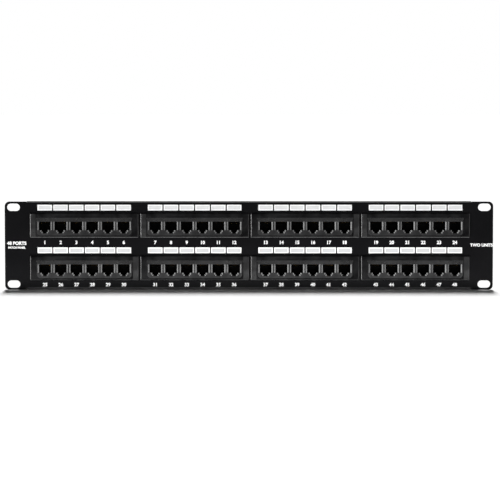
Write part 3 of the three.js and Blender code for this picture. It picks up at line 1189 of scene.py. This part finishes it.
# Plain generic wording on the ears: the words, their centre in X and Z, their height and their boldness.
EAR_WORDS = (
    ("48 PORTS", -229.5 * MM, 2.6 * MM, 3.2 * MM, 0.2 * MM),
    ("PATCH PANEL", -229.5 * MM, -1.8 * MM, 1.9 * MM, 0.14 * MM),
    ("TWO UNITS", 230.0 * MM, 0.8 * MM, 2.9 * MM, 0.18 * MM),
)


def ink_piece(bm, name):
    piece = object_from(bm, name, WHITE_INK, FIELD_INK, SHADED_FIELD_INK)
    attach(piece, ROOT)


def writing_boxes():
    """A bright white border and, inside it, a duller field that takes a pen."""
    bm = bmesh.new()
    width, height = WRITING_BOX
    field = (width - 2 * WRITING_BORDER, height - 2 * WRITING_BORDER)
    for middle in module_centre.values():
        # The lower row's fields take the duller ink, a painted shade against the table lamps' extra light.
        field_ink = UPPER_FIELD if middle.z > 0 else SHADED_LOWER_FIELD
        for offset in port_offsets:
            centre = (middle.x + offset, middle.z + WRITING_BOX_RISE)
            outline = rounded_rectangle(width, height, [WRITING_BOX_CORNER] * 4, centre, steps=3)
            add_prism(bm, outline, 1, PLATE_FRONT - INK, PLATE_FRONT + INK / 2, WHITE)
            outline = rounded_rectangle(*field, [FIELD_CORNER] * 4, centre, steps=3)
            add_prism(
                bm, outline, 1, PLATE_FRONT - 1.5 * INK, PLATE_FRONT - INK / 2, field_ink
            )
    ink_piece(bm, "writing_boxes")


def add_text(bm, words, centre_x, centre_z, height, boldness):
    """Lettering as thin ink, with its capitals the given height and its middle at the centre."""
    curve = bpy.data.curves.new("text", "FONT")
    curve.body = words
    curve.align_x = "CENTER"
    curve.size = height / CAPITAL_SHARE
    curve.offset = boldness
    curve.resolution_u = 3
    curve.extrude = INK / 2
    text = bpy.data.objects.new("text", curve)
    bpy.context.scene.collection.objects.link(text)
    bpy.context.view_layer.update()
    graph = bpy.context.evaluated_depsgraph_get()
    mesh = bpy.data.meshes.new_from_object(text.evaluated_get(graph))
    turn = Matrix.Rotation(math.pi / 2, 4, "X")
    place = Matrix.Translation((centre_x, PLATE_FRONT - INK / 2, centre_z - height / 2))
    mesh.transform(place @ turn)
    bm.from_mesh(mesh)
    bpy.data.objects.remove(text)
    bpy.data.meshes.remove(mesh)


def port_numbers():
    bm = bmesh.new()
    for number, middle in module_centre.items():
        drop = UPPER_NUMBER_DROP if middle.z > 0 else LOWER_NUMBER_DROP
        for i, offset in enumerate(port_offsets):
            port = (number - 1) * PORTS_PER_MODULE + i + 1
            add_text(
                bm,
                str(port),
                middle.x + offset,
                middle.z - drop,
                NUMBER_HEIGHT,
                NUMBER_BOLDNESS,
            )
    ink_piece(bm, "port_numbers")


def ear_words():
    bm = bmesh.new()
    for line in EAR_WORDS:
        add_text(bm, *line)
    ink_piece(bm, "ear_words")


writing_boxes()
port_numbers()
ear_words()


# ---------- Studio ----------

VIEW_WIDTH = 494.4 * MM  # what the camera's frame spans at the panel
SENSOR_WIDTH = 36  # the camera's own unit, millimetres
CAMERA_DISTANCE = 3.0
CAMERA_ELEVATION = math.radians(5)
AIM = Vector((1.04 * MM, PLATE_FRONT, -4.2 * MM))
FLOOR_LEVEL = plate_low.z
FLOOR_REACH = 4.0
FLOOR_THICKNESS = 0.05
SKY_DISTANCE = 30
SKY_ELEVATION = math.radians(62)
TABLE_LAMP_LEVEL = FLOOR_LEVEL + 1 * MM


def floor():
    bm = bmesh.new()
    add_box(
        bm,
        (-FLOOR_REACH, -FLOOR_REACH, FLOOR_LEVEL - FLOOR_THICKNESS),
        (FLOOR_REACH, FLOOR_REACH, FLOOR_LEVEL),
    )
    shader = Shader("pale_floor", (0.9, 0.9, 0.9), 0.8, specular=0.0)
    piece = object_from(bm, "floor", shader.material)


def softbox(name, location, target, size, power):
    """A white rectangular lamp that faces the target. The camera doesn't see it."""
    light = bpy.data.lights.new(name, "AREA")
    light.shape = "RECTANGLE"
    light.size, light.size_y = size
    light.energy = power
    lamp = bpy.data.objects.new(name, light)
    lamp.location = location
    direction = Vector(target) - Vector(location)
    lamp.rotation_euler = direction.to_track_quat("-Z", "Y").to_euler()
    bpy.context.scene.collection.objects.link(lamp)
    lamp.visible_camera = False


def surroundings():
    """A white background that lights nothing: only the softboxes and the floor shape the object."""
    world = bpy.data.worlds.new("studio")
    bpy.context.scene.world = world
    world.use_nodes = True
    background = world.node_tree.nodes["Background"]
    background.inputs["Color"].default_value = (1, 1, 1, 1)
    background.inputs["Strength"].default_value = 1.0
    world.cycles_visibility.diffuse = False
    world.cycles_visibility.glossy = False
    world.cycles_visibility.transmission = False


def camera():
    data = bpy.data.cameras.new("camera")
    data.sensor_width = SENSOR_WIDTH
    data.lens = SENSOR_WIDTH * CAMERA_DISTANCE / VIEW_WIDTH
    data.clip_start = 0.05
    data.clip_end = 50
    eye = bpy.data.objects.new("camera", data)
    back = Vector((0, -math.cos(CAMERA_ELEVATION), math.sin(CAMERA_ELEVATION)))
    eye.location = AIM + back * CAMERA_DISTANCE
    eye.rotation_euler = (-back).to_track_quat("-Z", "Y").to_euler()
    bpy.context.scene.collection.objects.link(eye)
    bpy.context.scene.camera = eye


camera()
floor()
surroundings()
# High and far behind: it lights the whole floor evenly and throws the panel's soft shadow forward.
sky_place = (0, SKY_DISTANCE * math.cos(SKY_ELEVATION), SKY_DISTANCE * math.sin(SKY_ELEVATION))
softbox("sky", sky_place, (0, 0, 0), (3, 13.5), 12000)
# Low at both sides: they show in the sockets' splayed walls and the bezels' rounded ends.
softbox("left", (-3.75, -1.42, 0.19), (0, 0, 0), (1.6, 0.46), 38)
softbox("right", (3.75, -1.42, 0.19), (0, 0, 0), (1.6, 0.46), 11)
# Low and further round to the front, for the ink and the faces.
softbox("fill_left", (-0.92, -0.92, 0.02), (0, 0, 0), (0.5, 0.12), 3)
softbox("fill_right", (0.92, -0.92, 0.02), (0, 0, 0), (0.5, 0.12), 2.5)
# In front and above, for the strips that lean back.
softbox("front", (0, -1.55, 0.6), (0, 0, 0), (1.8, 0.3), 1.1)
# Nearly level with the sockets, so that a little light reaches the contacts inside.
softbox("front_low", (0, -2.6, 0.3), (0, 0, 0), (0.9, 0.12), 1.2)
# A glow from the table top just in front, strongest low on the panel.
softbox("table", (0, -0.085, TABLE_LAMP_LEVEL), (0, -0.085, 1), (0.6, 0.13), 0.15)
# A narrow strip of it close to the steel, for the band under the lower numbers.
softbox("table_near", (0, -0.028, TABLE_LAMP_LEVEL), (0, -0.028, 1), (0.5, 0.03), 0.16)
bpy.context.scene.view_settings.view_transform = "Standard"
